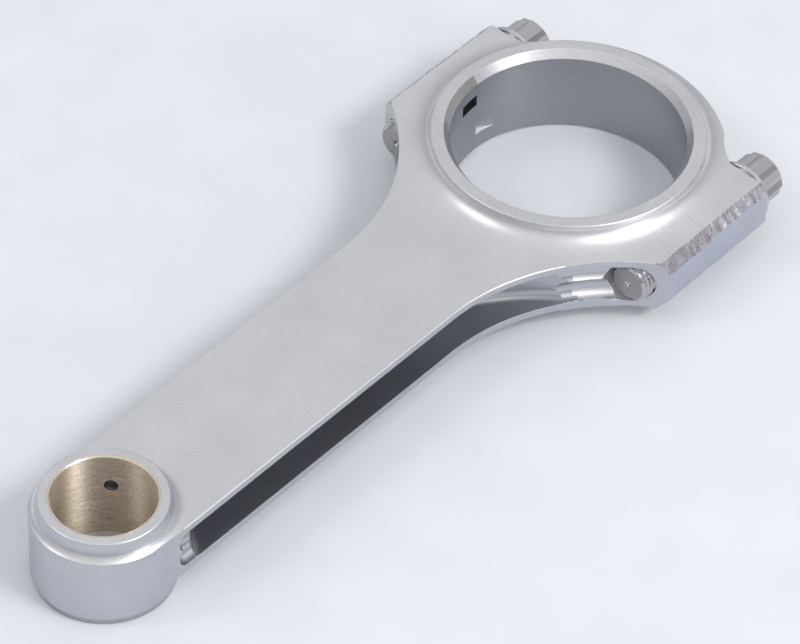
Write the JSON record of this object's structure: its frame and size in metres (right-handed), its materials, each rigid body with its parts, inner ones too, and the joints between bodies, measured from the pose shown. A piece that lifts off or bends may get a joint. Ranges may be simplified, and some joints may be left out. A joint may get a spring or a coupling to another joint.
{
  "type": "connecting rod",
  "caption": "H-beam engine connecting rod with a bolted cap, bronze wrist-pin bush and twelve-point cap screws, lying flat.",
  "frame": {"origin": "under the middle of the whole rod, on the surface that it lies on", "axes": "+X along the rod from the wrist pin to the crankpin, +Y across the rod in its plane, +Z along both pins, up when the rod lies flat"},
  "size_m": [0.2258, 0.0918, 0.0252],
  "materials": {
    "forged_steel": "satin, shot-peened light grey alloy steel with machined faces",
    "bush_bronze": "honed bronze",
    "sleeve_steel": "ground steel",
    "bolt_steel": "dark brownish heat-treated alloy steel, rolled threads"
  },
  "bodies": {
    "rod": {"rod_body": "forged_steel", "small_end_bush": "bush_bronze", "locating_sleeve_left": "sleeve_steel", "locating_sleeve_right": "sleeve_steel"},
    "cap": {"rod_cap": "forged_steel"},
    "bolt_left": {"cap_bolt_left": "bolt_steel"},
    "bolt_right": {"cap_bolt_right": "bolt_steel"}
  },
  "joints": [
    {"name": "cap_pull", "type": "slide", "parent": "rod", "child": "cap", "axis": [1, 0, 0], "range_m": [0, 0.045]},
    {"name": "bolt_left_draw", "type": "slide", "parent": "cap", "child": "bolt_left", "axis": [1, 0, 0], "range_m": [0, 0.048]},
    {"name": "bolt_right_draw", "type": "slide", "parent": "cap", "child": "bolt_right", "axis": [1, 0, 0], "range_m": [0, 0.048]}
  ]
}
